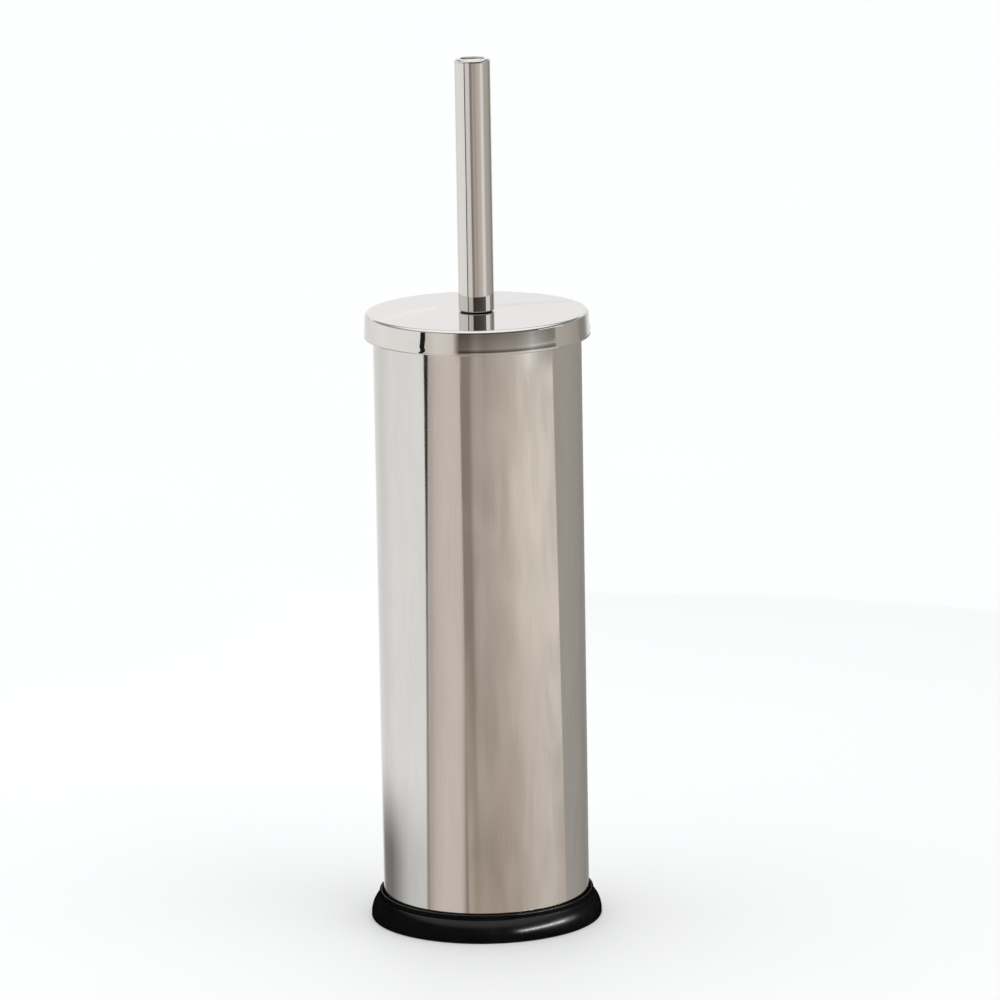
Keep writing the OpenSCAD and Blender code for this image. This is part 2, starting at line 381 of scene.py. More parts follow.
STEEL_TONE = (0.60, 0.585, 0.565)
STEEL_TUBE = polished_steel("steel_tube_polish", (60, 60, 1), (0.045, 0.095), wave=0.05, seam=True)
STEEL_LID = polished_steel("steel_lid_polish", (1, 1, 14), (0.012, 0.03), contrast=0.03, relief=0.012)
STEEL_HANDLE = polished_steel("steel_handle_polish", (60, 60, 1), (0.015, 0.045), relief=0.03)
STEEL_ROD = polished_steel("drawn_steel", (60, 60, 1), (0.10, 0.20))
STEEL_PLATE = plain_metal("mill_steel", (0.52, 0.51, 0.50), (0.28, 0.42))
STEEL_SPRING = plain_metal("zinc_steel", (0.42, 0.43, 0.44), (0.25, 0.4))
BRASS = plain_metal("turned_brass", (0.75, 0.55, 0.22), (0.2, 0.34))
BLACK_PLASTIC = moulded_plastic("black_moulding", (0.0042, 0.0042, 0.0041), rough=(0.17, 0.25), gloss=0.22)
LINER_PLASTIC = moulded_plastic("liner_moulding", (0.016, 0.016, 0.018), rough=(0.36, 0.5))
BUSH_PLASTIC = moulded_plastic("bush_moulding", (0.014, 0.014, 0.015))
WHITE_PLASTIC = moulded_plastic("white_moulding", (0.80, 0.80, 0.78), rough=(0.28, 0.36))
NYLON = nylon("nylon_filament")


# ---------------------------------------------------------------- holder

def make_tube():
    """Rolled tube whose mouth is curled outwards into an open bead."""
    inner = CURL_R - SHEET
    outline = [(TUBE_IN_R, TUBE_FOOT_Z)]
    outline += line((TUBE_IN_R, TUBE_FOOT_Z), (TUBE_IN_R, CURL_Z), 24)
    outline += arc(CURL_X, CURL_Z, CURL_R, 180, -90, 30)
    outline += arc(CURL_X, CURL_Z, inner, -90, 180, 24)
    outline += line((TUBE_R, CURL_Z), (TUBE_R, TUBE_FOOT_Z), 24)
    outline += [(TUBE_R, TUBE_FOOT_Z)]
    return weigh_normals(turn("steel_tube", outline))


def flare():
    """Radius of the base ring's bulging flare: upright at the toe, and through the neck."""
    drop, out = NECK_Z - TOE_Z, FOOT_R - NECK_R
    return (drop * drop + out * out) / (2 * out)


def groove_outline(lap=0.0):
    """Section of the hollow under the foot, widened by lap for the ribs that cross it."""
    radius = flare() - SKIN + lap
    top = GROOVE_H + lap
    start = math.degrees(math.asin((top - TOE_Z) / radius))
    end = math.degrees(math.asin(-TOE_Z / radius))
    inner = [(GROOVE_R - lap, 0.0), (GROOVE_R - lap, top)]
    return inner + arc(FOOT_R - flare(), TOE_Z, radius, start, end, 8)


def make_base_ring():
    """Flared foot with an upright lip, and the channel that holds the tube's lower edge."""
    radius = flare()
    neck_angle = math.degrees(math.asin((NECK_Z - TOE_Z) / radius))
    lip_in = TUBE_R + LIP_GAP
    crown = (LIP_R - lip_in) / 2
    seat_r = TUBE_R + 0.05 * MM
    outline = [(SEAT_IN_R, 0.0)]
    outline += groove_outline()
    outline += [(FOOT_R - TOE_ROUND - 0.1 * MM, 0.0)]
    outline += arc(FOOT_R - TOE_ROUND, TOE_ROUND, TOE_ROUND, -90, 0, 6)
    outline += arc(FOOT_R - radius, TOE_Z, radius, 0, neck_angle, 24)
    outline += [(LIP_R + 0.12 * MM, NECK_Z + 0.04 * MM), (LIP_R + 0.03 * MM, NECK_Z + 0.15 * MM)]
    outline += line((LIP_R, NECK_Z + 0.2 * MM), (LIP_R, RING_H - crown), 4)
    outline += arc(LIP_R - crown, RING_H - crown, crown, 0, 180, 10)
    outline += [(lip_in, GAP_FLOOR_Z + 0.3 * MM), (lip_in - 0.3 * MM, GAP_FLOOR_Z), (seat_r, GAP_FLOOR_Z)]
    outline += [(seat_r, TUBE_FOOT_Z), (SEAT_OUT_R, TUBE_FOOT_Z)]
    outline += [(SEAT_OUT_R, SEAT_H), (SEAT_IN_R, SEAT_H)]
    return weigh_normals(turn("foot_ring", outline, 240))


def make_ribs():
    """Thin ribs across the groove under the foot, one mesh."""
    half = RIB_T / 2
    section = [(r, max(z, RIB_FOOT_Z)) for r, z in groove_outline(0.1 * MM)]
    bm = bmesh.new()
    for i in range(RIBS):
        spin = Matrix.Rotation(2 * math.pi * i / RIBS, 3, "Z")
        sides = [[bm.verts.new(spin @ Vector((r, y, z))) for r, z in section] for y in (-half, half)]
        bm.faces.new(sides[0])
        bm.faces.new(reversed(sides[1]))
        for j in range(len(section)):
            k = (j + 1) % len(section)
            bm.faces.new((sides[0][j], sides[1][j], sides[1][k], sides[0][k]))
    mesh = bpy.data.meshes.new("foot_ribs")
    bm.to_mesh(mesh)
    bm.free()
    tidy_mesh(mesh)
    return link("foot_ribs", mesh)


def make_liner():
    """Moulded bucket with a slight taper, a rounded floor and a turned-over rim."""
    bend_x, bend_z = LINER_FOOT_R - LINER_ROUND, LINER_Z + LINER_ROUND
    rim_z = LINER_TOP_Z - LINER_RIM_H
    rim_in = LINER_RIM_R - LINER_RIM_T
    fold_z = LINER_TOP_Z - LINER_WALL
    top_in = LINER_TOP_R - LINER_WALL
    foot_in = LINER_FOOT_R - LINER_WALL
    soft = 0.6 * MM
    outline = [(0.0, LINER_Z), (bend_x * 0.5, LINER_Z), (bend_x - 0.5 * MM, LINER_Z)]
    outline += arc(bend_x, bend_z, LINER_ROUND, -90, 0, 10)
    outline += line((LINER_FOOT_R, bend_z), (LINER_TOP_R, fold_z), 16)
    outline += [(LINER_TOP_R, fold_z - 0.2 * MM)]
    outline += [(rim_in, fold_z), (rim_in, rim_z), (LINER_RIM_R, rim_z)]
    outline += arc(LINER_RIM_R - soft, LINER_TOP_Z - soft, soft, 0, 90, 6)
    outline += arc(top_in + soft, LINER_TOP_Z - soft, soft, 90, 180, 6)
    outline += line((top_in, LINER_TOP_Z - soft), (foot_in, bend_z), 16)
    outline += arc(bend_x, bend_z, LINER_ROUND - LINER_WALL, 0, -90, 10)
    outline += [(bend_x * 0.5, LINER_Z + LINER_WALL), (0.0, LINER_Z + LINER_WALL)]
    return weigh_normals(turn("liner_bucket", outline, 192, closed=False))


# ---------------------------------------------------------------- lid

def make_lid():
    """Pressed lid: flat top, spreading skirt, and a hem folded inside its lower edge."""
    bend_x, bend_z = LID_HIGH_R - LID_BEND, LID_Z - LID_BEND
    hem_t = 2 * SHEET + 0.1 * MM
    hem_r = hem_t / 2
    hole_r = BUSH_R + 0.05 * MM
    bead = 0.06 * MM
    hem_z = SKIRT_Z + HEM_H
    fall = bend_z - hem_z
    steep = math.tan(math.radians(SKIRT_TOP_SLOPE))
    flat = math.tan(math.radians(SKIRT_FOOT_SLOPE))
    inner = LID_LOW_R - SHEET - 0.1 * MM

    def skirt(t):
        """Point of the skirt's outside, at t from its top; it grows steadily more upright downwards."""
        return (LID_HIGH_R + fall * (steep * t - 0.5 * (steep - flat) * t * t), bend_z - fall * t)

    outline = [(hole_r, LID_Z - SHEET), (hole_r, LID_Z)]
    outline += line((hole_r, LID_Z), (bend_x, LID_Z), 12)
    outline += arc(bend_x, bend_z, LID_BEND, 90, 2.5, 14)
    outline += [skirt(k / 10) for k in range(11)]
    outline += [(LID_LOW_R - bead, hem_z - 0.6 * MM)]
    outline += [(LID_LOW_R - 0.02 * MM, hem_z - 0.9 * MM), (LID_LOW_R, hem_z - 1.2 * MM)]
    outline += arc(LID_LOW_R - hem_r, SKIRT_Z + hem_r, hem_r, 0, -180, 14)
    outline += [(LID_LOW_R - hem_t, hem_z), (inner, hem_z)]
    outline += line((inner, hem_z), (LID_HIGH_R - SHEET, bend_z), 6)
    outline += arc(bend_x, bend_z, LID_BEND - SHEET, 0, 90, 8)
    outline += line((bend_x, LID_Z - SHEET), (hole_r, LID_Z - SHEET), 8)
    return weigh_normals(turn("steel_lid", outline))


def make_bush():
    """Bush with a thin flange over the lid and a snap ridge under it."""
    bore = ROD_R + 0.05 * MM
    flange_r = BUSH_R + 0.8 * MM
    snap_z = LID_Z - SHEET - 0.1 * MM
    soft = 0.1 * MM
    outline = [(bore, BUSH_FOOT_Z), (BUSH_R - soft, BUSH_FOOT_Z), (BUSH_R, BUSH_FOOT_Z + soft)]
    outline += [(BUSH_R + 0.7 * MM, snap_z - 0.6 * MM), (BUSH_R + 0.7 * MM, snap_z), (BUSH_R, snap_z)]
    outline += [(BUSH_R, LID_Z), (flange_r - soft, LID_Z), (flange_r, LID_Z + soft)]
    outline += arc(flange_r - soft, BUSH_TOP_Z - soft, soft, 0, 90, 4)
    outline += [(bore, BUSH_TOP_Z)]
    return weigh_normals(turn("bush", outline, 96))


# ---------------------------------------------------------------- handle and rod

def make_handle():
    """Tube with its outer edge rounded over at the foot and just broken at the top."""
    inner_r = HANDLE_R - HANDLE_WALL
    soft, edge = HANDLE_FOOT_ROUND, 0.1 * MM
    outline = [(inner_r, HANDLE_FOOT_Z)]
    outline += arc(HANDLE_R - soft, HANDLE_FOOT_Z + soft, soft, -90, 0, 10)
    outline += line((HANDLE_R, HANDLE_FOOT_Z), (HANDLE_R, HANDLE_TOP_Z), 14)
    outline += arc(HANDLE_R - edge, HANDLE_TOP_Z - edge, edge, 0, 90, 3)
    outline += [(inner_r, HANDLE_TOP_Z)]
    outline += line((inner_r, HANDLE_TOP_Z), (inner_r, HANDLE_FOOT_Z), 6)
    return weigh_normals(turn("handle_sleeve", outline, 128))


def make_cap():
    """Pressed end cap: rounded edge and a shallow recess with a soft rim, on a spigot inside the handle."""
    edge = TOP_Z - HANDLE_TOP_Z
    spigot_r = HANDLE_R - HANDLE_WALL - 0.02 * MM
    spigot_z = HANDLE_TOP_Z - SPIGOT_H
    floor_z = TOP_Z - RECESS_DEPTH
    rim, root = 0.22 * MM, 0.15 * MM
    bend = edge - 0.1 * MM
    outline = [(0.0, spigot_z), (spigot_r * 0.8, spigot_z)]
    outline += [(spigot_r, spigot_z + 0.4 * MM), (spigot_r, HANDLE_TOP_Z)]
    outline += [(HANDLE_R - 0.12 * MM, HANDLE_TOP_Z), (HANDLE_R, HANDLE_TOP_Z + 0.12 * MM)]
    outline += arc(HANDLE_R - bend, TOP_Z - bend, bend, 0, 90, 12)
    outline += arc(RECESS_R + rim, TOP_Z - rim, rim, 90, 180, 6)
    outline += arc(RECESS_R - root, floor_z + root, root, 0, -90, 5)
    outline += line((RECESS_R - root, floor_z), (0.0, floor_z), 5)
    outline += [(0.0, floor_z)]
    return weigh_normals(turn("handle_end", outline, 128, closed=False))


def make_rod():
    """Rod with rolled screw threads at both ends and a slight chamfer at each tip."""
    pitch, depth = 1.25 * MM, 0.55 * MM
    foot, top = low("rod").z, high("rod").z
    thread_top_start = HANDLE_FOOT_Z - 0.5 * MM
    thread_foot_end = HEAD_TOP_Z + 6 * MM
    step = pitch / 10

    def radius_at(r, angle, z):
        threaded = z < thread_foot_end or z > thread_top_start
        if r < ROD_R * 0.99 or not threaded:
            return r
        fade = min(1.0, max(0.0, min(abs(z - thread_foot_end), abs(z - thread_top_start)) / pitch))
        phase = (z / pitch - angle / (2 * math.pi)) % 1.0
        return r - depth * fade * abs(2 * phase - 1)

    chamfer = 0.6 * MM
    outline = [(0.0, foot), (ROD_R - depth, foot)]
    zs = list(np.arange(foot + chamfer, thread_foot_end, step))
    zs += list(np.linspace(thread_foot_end, thread_top_start, 24))
    zs += list(np.arange(thread_top_start + step, top - chamfer, step))
    outline += [(ROD_R, float(z)) for z in zs]
    outline += [(ROD_R - depth, top), (0.0, top)]
    return turn("screwed_rod", outline, 48, closed=False, radius_at=radius_at)


def make_push_nut():
    """Toothed spring washer: a flat rim with six teeth that lean down onto the rod."""
    top = high("push_nut").z
    thick, dish = 0.5 * MM, 0.8 * MM
    tooth_r, rim_r = ROD_R + 1.8 * MM, ROD_R + 5 * MM
    radii = [ROD_R, ROD_R + 0.9 * MM, tooth_r]
    radii += [tooth_r + 0.3 * MM, (tooth_r + rim_r) / 2, rim_r - 0.2 * MM, rim_r]
    steps = 144
    slot_half = 0.4 * MM
    bm = bmesh.new()

    def height(r):
        lean = max(0.0, (tooth_r - r) / (tooth_r - ROD_R))
        return top - dish * lean - (0.15 * MM if r > rim_r - 0.1 * MM else 0.0)

    grid = []
    for r in radii:
        ring = []
        for i in range(steps):
            a = 2 * math.pi * i / steps
            ring.append(bm.verts.new((r * math.cos(a), r * math.sin(a), height(r))))
        grid.append(ring)
    for k in range(len(radii) - 1):
        for i in range(steps):
            a = 2 * math.pi * (i + 0.5) / steps
            off = (a + math.pi / 6) % (math.pi / 3) - math.pi / 6
            if k < 3 and abs(off) * radii[k + 1] < slot_half:
                continue
            j = (i + 1) % steps
            bm.faces.new((grid[k][i], grid[k][j], grid[k + 1][j], grid[k + 1][i]))
    bmesh.ops.delete(bm, geom=[v for v in bm.verts if not v.link_faces], context="VERTS")
    mesh = bpy.data.meshes.new("push_washer")
    bm.to_mesh(mesh)
    bm.free()
    tidy_mesh(mesh)
    obj = link("push_washer", mesh)
    mod = obj.modifiers.new("thickness", "SOLIDIFY")
    mod.thickness = thick
    mod.offset = -1
    return obj


# ---------------------------------------------------------------- brush head

def make_core():
    """Moulded core: rounded foot, barrel, shoulder, a fluted neck and a soft top edge."""
    low_x, low_z = CORE_R - CORE_ROUND, CORE_Z + CORE_ROUND
    pocket_r = high("head_insert").x
    pocket_z = low("head_insert").z
    neck_z = CORE_SHOULDER_Z + 6 * MM
    soft = 0.8 * MM
    outline = [(0.0, CORE_Z), (low_x - 0.3 * MM, CORE_Z)]
    outline += arc(low_x, low_z, CORE_ROUND, -90, 0, 10)
    outline += line((CORE_R, low_z), (CORE_R, CORE_SHOULDER_Z - 1 * MM), 10)
    outline += arc(CORE_R - 1 * MM, CORE_SHOULDER_Z - 1 * MM, 1 * MM, 0, 50, 5)
    outline += [(NECK_PLASTIC_R + 0.5 * MM, neck_z - 0.8 * MM), (NECK_PLASTIC_R + 0.1 * MM, neck_z)]
    outline += line((NECK_PLASTIC_R, neck_z + 0.5 * MM), (NECK_PLASTIC_R, HEAD_TOP_Z - soft), 6)
    outline += arc(NECK_PLASTIC_R - soft, HEAD_TOP_Z - soft, soft, 0, 90, 6)
    outline += [(pocket_r, HEAD_TOP_Z), (pocket_r, pocket_z), (0.0, pocket_z)]

    def radius_at(r, angle, z):
        flute = neck_z + 1 * MM < z < HEAD_TOP_Z - 1.5 * MM and r > pocket_r + 1 * MM
        return r - (0.35 * MM * max(0.0, math.cos(12 * angle)) if flute else 0.0)

    return weigh_normals(turn("brush_core", outline, 192, closed=False, radius_at=radius_at))


def bristles(name, tufts, strands, thickness=0.21 * MM, sides=4, parts=5):
    """One mesh of nylon strands, from tufts of (root, direction, length, spread across and upwards)."""
    verts, faces = [], []
    for root, direction, length, spread in tufts:
        axis = Vector(direction).normalized()
        across = axis.cross(Vector((0, 0, 1)))
        across = across.normalized() if across.length > 0.05 else Vector((1, 0, 0))
        upwards = across.cross(axis).normalized()
        for _ in range(strands):
            turn_angle = rng.uniform(0, 2 * math.pi)
            out = math.sqrt(rng.uniform(0, 1))
            du, dv = out * math.cos(turn_angle), out * math.sin(turn_angle)
            base = root + (across * du + upwards * dv) * 1.9 * MM
            wide, tall = spread
            lean = across * (du * wide + rng.normal(0, 0.022))
            lean = lean + upwards * (dv * tall + rng.normal(0, 0.018))
            heading = (axis + lean).normalized()
            bend = (across * rng.normal(0, 1) + upwards * rng.normal(0, 1)) * 0.5 * MM
            reach = length * rng.uniform(0.965, 1.0) / max(0.6, heading.dot(axis))
            crimp = rng.uniform(0, 2 * math.pi)
            first = len(verts)
            for p in range(parts + 1):
                t = p / parts
                mid = base + heading * (reach * t) + bend * (t * t)
                mid += across * (0.10 * MM * math.sin(crimp + 9 * t))
                r = thickness * (1 - 0.12 * t)
                for s in range(sides):
                    a = 2 * math.pi * s / sides
                    verts.append(mid + across * (r * math.cos(a)) + upwards * (r * math.sin(a)))
            verts.append(mid + heading * (0.6 * thickness))
            tip = len(verts) - 1
            for p in range(parts):
                for s in range(sides):
                    ring = first + p * sides
                    a, b = ring + s, ring + (s + 1) % sides
                    faces.append((a, b, b + sides, a + sides))
            last = first + parts * sides
            for s in range(sides):
                faces.append((last + s, last + (s + 1) % sides, tip))
            faces.append(tuple(first + s for s in reversed(range(sides))))
    mesh = bpy.data.meshes.new(name)
    mesh.from_pydata(verts, [], faces)
    mesh.shade_smooth()
    return link(name, mesh)


def make_row(i):
    """Row i of tufts, counted from the foot; every other row is turned by half a step."""
    lo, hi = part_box(f"tuft_row_{i}")
    z = (lo.z + hi.z) / 2
    reach_r = hi.x
    droop = math.radians({1: -9, 2: -4}.get(i, 0))
    tufts = []
    for k in range(TUFTS_PER_ROW):
        a = 2 * math.pi * (k + 0.5 * (i % 2)) / TUFTS_PER_ROW
        flat = Vector((math.cos(a), math.sin(a), 0))
        heading = flat * math.cos(droop) + Vector((0, 0, 1)) * math.sin(droop)
        root = flat * (CORE_R - ROOT_DEPTH) + Vector((0, 0, z))
        length = (reach_r - CORE_R + ROOT_DEPTH) * 0.995
        tufts.append((root, heading, length, (0.30, 0.085)))
    return bristles(f"bristles_row_{i}", tufts, ROW_STRANDS)


def inside_tip(point):
    """Whether a point is within the rounded space under the core, which the bristle tips reach."""
    r, z = math.hypot(point.x, point.y), point.z
    if z < TIP_Z or r > TIP_R:
        return False
    corner_r, corner_z = TIP_R - TIP_ROUND, TIP_Z + TIP_ROUND
    if r > corner_r and z < corner_z:
        return math.hypot(r - corner_r, z - corner_z) < TIP_ROUND
    return True


def make_tip():
    """Tufts that fan out and down from the core's rounded foot."""
    centre = Vector((0, 0, CORE_Z + CORE_ROUND))
    fan = [(0, 1), (26, 6), (48, 12), (66, 15)]
    tufts = []
    for polar, count in fan:
        for k in range(count):
            a = 2 * math.pi * (k + 0.5 * (polar > 30)) / count
            p = math.radians(polar)
            flat = Vector((math.cos(a), math.sin(a), 0))
            heading = flat * math.sin(p) - Vector((0, 0, 1)) * math.cos(p)
            start = 0.5 * CORE_R
            length = start
            step = 0.5 * MM
            while inside_tip(centre + heading * (length + step)):
                length += step
            tufts.append((centre + heading * start, heading, length - start, (0.16, 0.12)))
    return bristles("bristles_tip", tufts, TIP_STRANDS)


# ---------------------------------------------------------------- assembly

finish_piece(make_tube(), "holder", "polished_steel", STEEL_TUBE, "tube_shell")
foot_ring = finish_piece(make_base_ring(), "holder", "black_plastic", BLACK_PLASTIC, "base_ring")
finish_piece(make_ribs(), "holder", "black_plastic", BLACK_PLASTIC)
finish_piece(make_liner(), "liner", "liner_plastic", LINER_PLASTIC, "liner")
finish_piece(make_lid(), "lid", "polished_steel", STEEL_LID, "lid")
finish_piece(make_bush(), "lid", "bush_plastic", BUSH_PLASTIC, "lid_bush")
finish_piece(make_handle(), "brush", "polished_steel", STEEL_HANDLE, "handle_tube")
finish_piece(make_cap(), "brush", "polished_steel", STEEL_HANDLE, "handle_cap")
finish_piece(make_rod(), "brush", "rod_steel", STEEL_ROD, "rod")
finish_piece(make_push_nut(), "brush", "spring_steel", STEEL_SPRING, "push_nut")
finish_piece(make_core(), "brush", "core_plastic", WHITE_PLASTIC, "head_core")
for row in range(1, ROWS + 1):
    finish_piece(make_row(row), "brush", "bristle", NYLON, f"tuft_row_{row}")
finish_piece(make_tip(), "brush", "bristle", NYLON, "tuft_tip")

for node, material in (("bottom_plate", STEEL_PLATE), ("handle_plug", STEEL_PLATE), ("head_insert", BRASS)):
    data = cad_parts[node].data
    data.materials.clear()
    data.materials.append(material)


# ---------------------------------------------------------------- studio

# Brightest colour of a ramp: its colours are divided by this and the light is multiplied by it
RAMP_TOP = 1.5

# Tent of cloths round the object: radius, heights, and first and last compass direction of each
TENT_R = 0.62
TENT_FOOT = -0.7
TENT_H = 0.47
FRONT_H = 0.139
UPPER_Z = 0.15
SIDE_SPAN = (80, 342)
UPPER_SPAN = (84, 342)
FRONT_SPAN = (-19, 88)
FRONT_LEAN = 30.0

# Dark gap on the left: its direction at the floor, and degrees to the right per metre of height
GAP_AZIMUTH = -61.3
GAP_LEAN = 31.0
GAP_STRAIGHT_Z = 0.22

# Heights between which the front cloth changes to its lower colours, and the left corner dims
LOW_FALL = (0.02, -0.14)
CORNER_FALL = (-0.08, -0.135)


def azimuth_ramp(tree, vector, stops, top=RAMP_TOP, lean=0.0):
    """Colour by compass direction: 0 is towards the camera, positive to its right, in degrees.

    The stops lean to the right by so many degrees for each metre of height.
    """
    xyz = tree.nodes.new("ShaderNodeSeparateXYZ")
    tree.links.new(vector, xyz.inputs["Vector"])
    flip = tree.nodes.new("ShaderNodeMath")
    flip.operation = "MULTIPLY"
    flip.inputs[1].default_value = -1
    tree.links.new(xyz.outputs["Y"], flip.inputs[0])
    angle = tree.nodes.new("ShaderNodeMath")
    angle.operation = "ARCTAN2"
    tree.links.new(xyz.outputs["X"], angle.inputs[0])
    tree.links.new(flip.outputs[0], angle.inputs[1])
    straightened = tree.nodes.new("ShaderNodeMath")
    straightened.operation = "MULTIPLY_ADD"
    straightened.inputs[1].default_value = -math.radians(lean)
    tree.links.new(xyz.outputs["Z"], straightened.inputs[0])
    tree.links.new(angle.outputs[0], straightened.inputs[2])
    scale = tree.nodes.new("ShaderNodeMapRange")
    scale.inputs["From Min"].default_value = -math.pi
    scale.inputs["From Max"].default_value = math.pi
    tree.links.new(straightened.outputs[0], scale.inputs["Value"])
    ramp = tree.nodes.new("ShaderNodeValToRGB")
    elements = ramp.color_ramp.elements
    while len(elements) > 1:
        elements.remove(elements[-1])
    for k, (degrees, colour) in enumerate(stops):
        place = degrees / 360 + 0.5
        element = elements[0] if k == 0 else elements.new(place)
        element.position = place
        element.color = (*[c / top for c in colour], 1)
    tree.links.new(scale.outputs["Result"], ramp.inputs["Fac"])
    return ramp.outputs["Color"]


# Colours of the cloths and of the room, as stops of (compass direction in degrees, colour)
WHITE_CLOTH = (1.13, 1.13, 1.12)
BACK_CLOTH = (1.08, 1.08, 1.08)
ROSE_CLOTH = (0.90, 0.80, 0.75)
SHADE = (0.40, 0.34, 0.29)
GREY_BOARD = (0.52, 0.49, 0.45)
DIM_BOARD = (0.36, 0.34, 0.32)
WINDOW = (1.4, 1.4, 1.42)
LIT_FOLD = (1.3, 1.3, 1.3)
SHADED_FOLD = (0.86, 0.86, 0.86)
SKY = (1.45, 1.45, 1.45)
# Share of the light that the dim corner takes away
CORNER_STOPS = [
    (-168, (0, 0, 0)), (-150, (0.72, 0.72, 0.72)), (-128, (0.76, 0.76, 0.76)), (-114, (0.62, 0.62, 0.62)),
    (-102, (0.42, 0.42, 0.42)), (-92, (0.26, 0.26, 0.26)), (-66, (0.19, 0.19, 0.19)), (-61, (0, 0, 0)),
]
SIDE_STOPS = [
    (-180, WHITE_CLOTH), (-172, WHITE_CLOTH), (-165, (0.92, 0.92, 0.91)), (-135, (0.95, 0.95, 0.94)),
    (-110, WHITE_CLOTH), (-63, WHITE_CLOTH), (-58, (0.62, 0.58, 0.53)), (-50, (0.82, 0.74, 0.69)),
    (-40, ROSE_CLOTH), (-24, ROSE_CLOTH), (-20, (0.78, 0.69, 0.62)), (-17, SHADE), (80, GREY_BOARD),
    (107, GREY_BOARD), (128, (0.46, 0.44, 0.41)), (148, DIM_BOARD), (180, DIM_BOARD),
]
UPPER_STOPS = [
    (-180, BACK_CLOTH), (-172, BACK_CLOTH), (-150, (0.95, 0.95, 0.95)), (-110, (1.20, 1.19, 1.17)),
    (-57, WHITE_CLOTH), (-52, (0.84, 0.79, 0.75)), (-46, (0.93, 0.89, 0.86)), (-40, (1.02, 0.98, 0.93)),
    (-30, (0.98, 0.94, 0.89)), (-24, (0.92, 0.87, 0.82)), (-21, (0.55, 0.50, 0.45)),
    (-18.5, (0.25, 0.22, 0.20)), (84, (0.64, 0.60, 0.56)), (100, (0.60, 0.56, 0.52)),
    (118, (0.50, 0.47, 0.43)), (128, (0.34, 0.32, 0.30)), (138, (0.36, 0.35, 0.33)),
    (152, (0.90, 0.90, 0.90)), (172, BACK_CLOTH), (180, BACK_CLOTH),
]
FRONT_STOPS = [
    (-20, SHADE), (-10, SHADE), (-6, (0.64, 0.57, 0.50)), (0, (0.67, 0.60, 0.53)), (7, (0.63, 0.56, 0.49)),
    (14, (0.68, 0.60, 0.53)), (26, (0.76, 0.68, 0.59)), (38, (0.88, 0.79, 0.70)), (58, (0.97, 0.89, 0.80)),
    (95, (1.03, 0.94, 0.86)),
]
FRONT_LOW_STOPS = [
    (-20, (0.66, 0.58, 0.49)), (-16, (0.62, 0.55, 0.46)), (-10, (0.50, 0.41, 0.33)),
    (-4, (0.55, 0.46, 0.39)), (10, (0.53, 0.44, 0.37)), (22, (0.60, 0.50, 0.42)),
    (36, (0.62, 0.54, 0.46)), (50, (0.73, 0.66, 0.60)), (62, (0.80, 0.72, 0.65)),
    (82, (0.78, 0.72, 0.64)), (95, (0.66, 0.59, 0.52)),
]
ROOM_STOPS = [
    (-180, (1.3, 1.3, 1.3)), (-70, (1.2, 1.2, 1.2)), (-22, (0.5, 0.46, 0.42)), (-18, (0.18, 0.15, 0.13)),
    (-9, (0.20, 0.17, 0.15)), (-2, (0.33, 0.30, 0.27)), (7, (0.27, 0.24, 0.22)), (25, (0.37, 0.33, 0.30)),
    (39, (0.38, 0.36, 0.32)), (50, (0.48, 0.46, 0.44)), (57, (0.60, 0.59, 0.57)), (67, (0.44, 0.43, 0.42)),
    (77, (0.33, 0.31, 0.29)), (84, (0.31, 0.29, 0.27)), (92, (0.60, 0.58, 0.56)), (180, (1.3, 1.3, 1.3)),
]
# Share of the room's light by how steeply a direction rises, as stops of (degrees, factor)
ROOM_RISE = [(-8, 2.0), (-6.8, 1.15), (-4.2, 1.0), (-1.5, 0.72), (3, 0.38), (15, 0.33)]
ROOM_BACK_RISE = [(20, 1.0), (26, 0.35), (36, 0.35)]
# Where the room shows its open front
ROOM_FRONT = [(-26, (0, 0, 0)), (-20, (1, 1, 1)), (84, (1, 1, 1)), (92, (0, 0, 0))]

def on_tent(azimuth, height, inset=0.0):
    """The point of the tent at a compass direction in degrees and a height."""
    a, r = math.radians(azimuth), TENT_R - inset
    return (r * math.sin(a), -r * math.cos(a), height)


def linked(name, piece, state="INCLUDE"):
    """A light group that takes in one piece only, or that leaves it out."""
    group = bpy.data.collections.new(name)
    group.objects.link(piece)
    group.collection_objects[0].light_linking.link_state = state
    return group


NOT_THE_RING = linked("all_but_the_ring", foot_ring, "EXCLUDE")


def cloth(name, lower, upper, material, inset=0.0):
    """A strip of the tent between two edges of (azimuth, height) points, only seen in reflections."""
    verts = [on_tent(*p, inset) for pair in zip(lower, upper) for p in pair]
    faces = [(2 * i, 2 * i + 1, 2 * i + 3, 2 * i + 2) for i in range(len(lower) - 1)]
    mesh = bpy.data.meshes.new(name)
    mesh.from_pydata(verts, [], faces)
    obj = link(name, mesh)
    obj.data.materials.append(material)
    obj.visible_camera = False
    obj.visible_diffuse = False
    obj.visible_shadow = False
    obj.light_linking.receiver_collection = NOT_THE_RING


def upright(name, start, end, foot, height, material, lean=0.0, inset=0.0):
    """A cloth between two compass directions, whose far edge leans outwards by lean degrees at the foot."""
    steps = max(8, int((end - start) / 2))
    across = [start + (end - start) * i / steps for i in range(steps + 1)]
    lower = [(a + lean * i / steps, foot) for i, a in enumerate(across)]
    cloth(name, lower, [(a, height) for a in across], material, inset)


